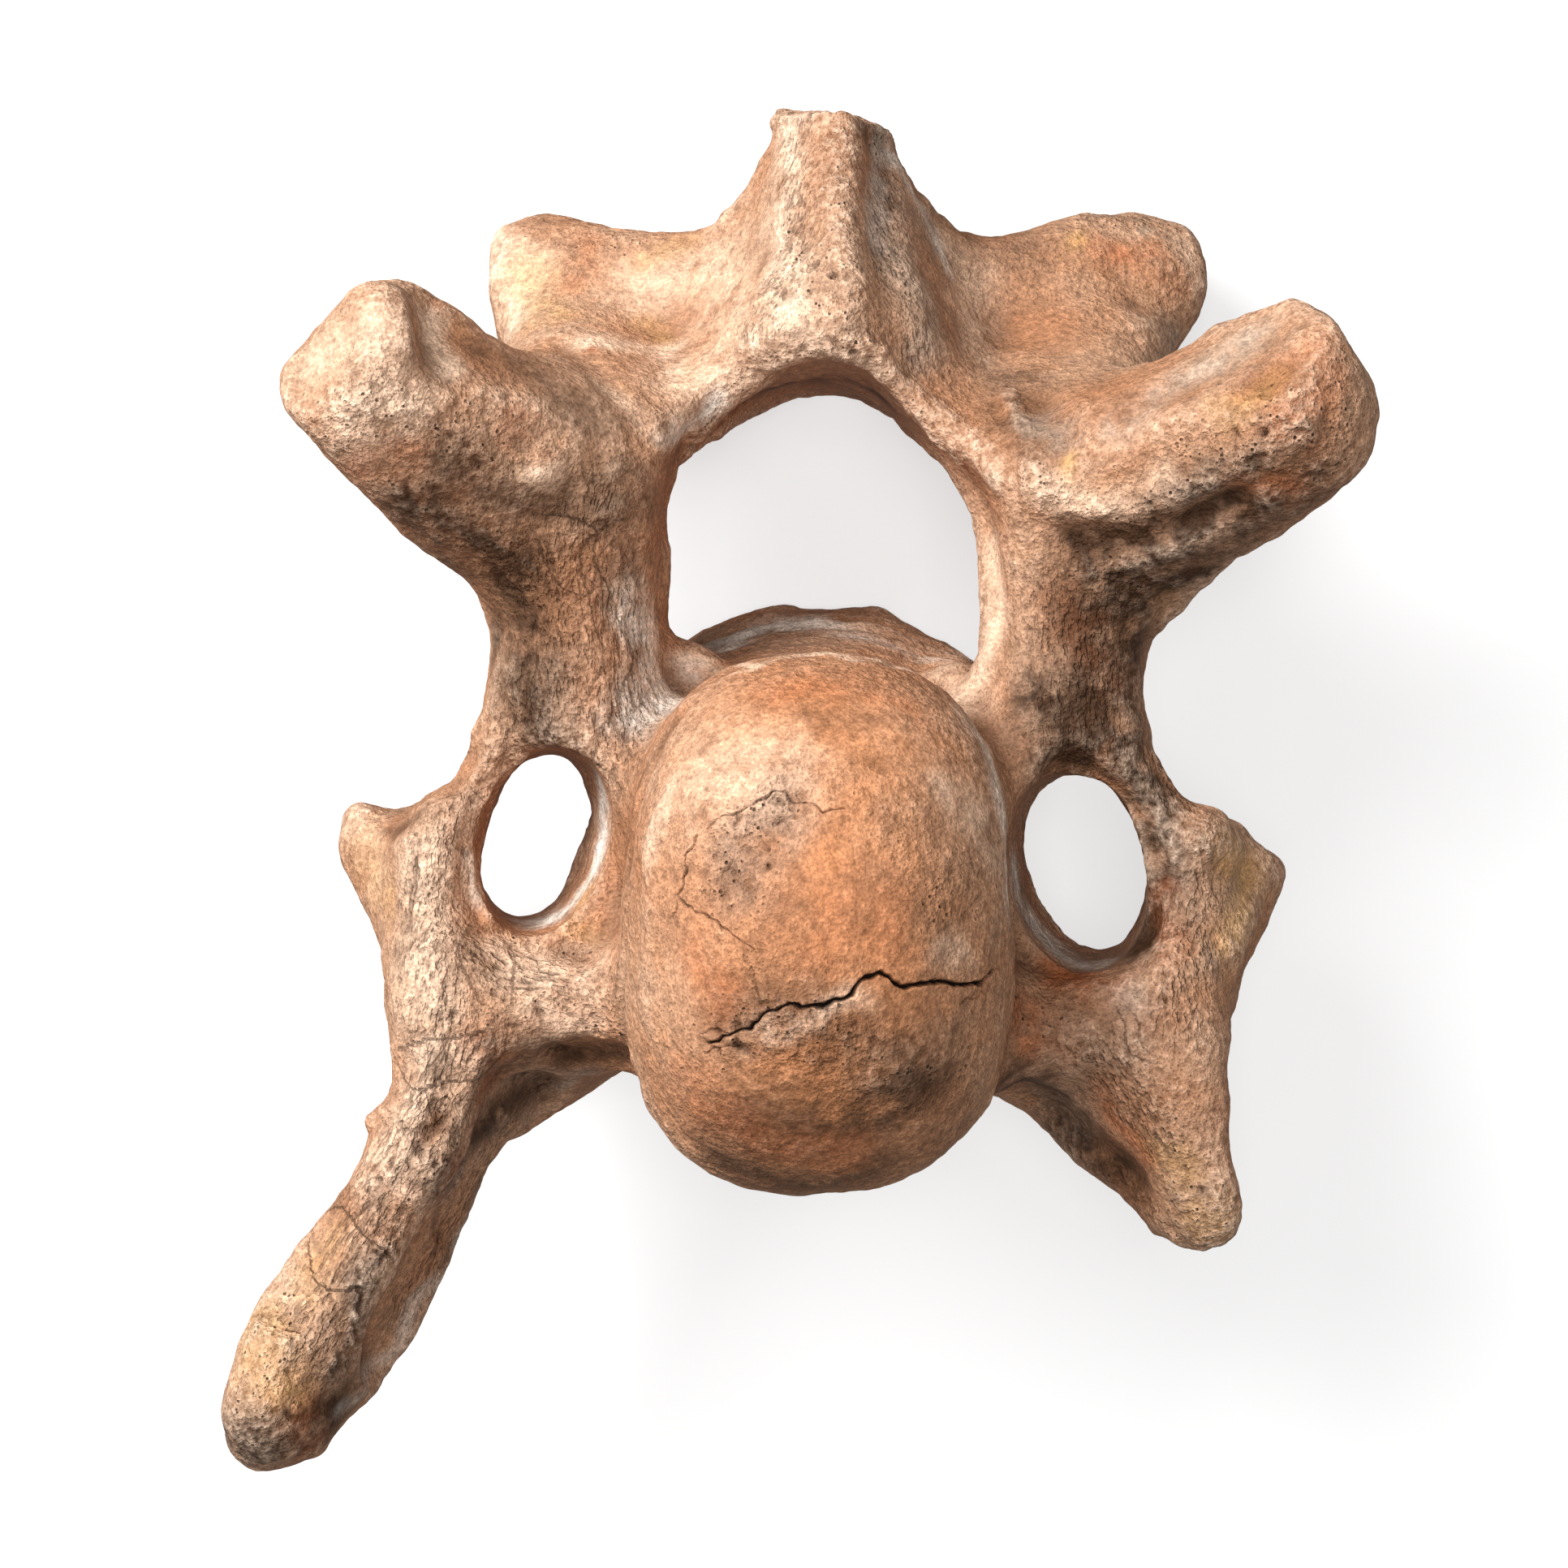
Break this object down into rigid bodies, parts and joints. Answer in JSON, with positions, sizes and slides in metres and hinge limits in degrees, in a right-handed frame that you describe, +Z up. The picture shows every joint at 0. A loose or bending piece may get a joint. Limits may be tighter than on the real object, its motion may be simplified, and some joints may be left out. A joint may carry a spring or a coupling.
{
  "type": "fossil vertebra",
  "caption": "Fossil neck vertebra of a woolly rhinoceros: domed front joint, open neural arch, broken spine, joint processes and pierced side processes, lying on its rear face.",
  "frame": {"origin": "on the floor, below the middle of the bone's box, with the bone lying on its rear face", "axes": "+X to the animal's left, +Y to its back (the spine), +Z up and to its head (the domed front face)"},
  "size_m": [0.1696, 0.2118, 0.1031],
  "materials": {
    "bone": "dry matt fossil bone, tan to orange-brown with grey and umber stains"
  },
  "bodies": {
    "root": {"centrum": "bone", "neural_arch_right": "bone", "neural_arch_left": "bone", "neural_spine": "bone", "prezygapophysis_right": "bone", "prezygapophysis_left": "bone", "postzygapophysis_right": "bone", "postzygapophysis_left": "bone", "transverse_process_right": "bone", "transverse_process_left": "bone", "ventral_lamella_right": "bone", "ventral_lamella_left": "bone"}
  },
  "joints": []
}
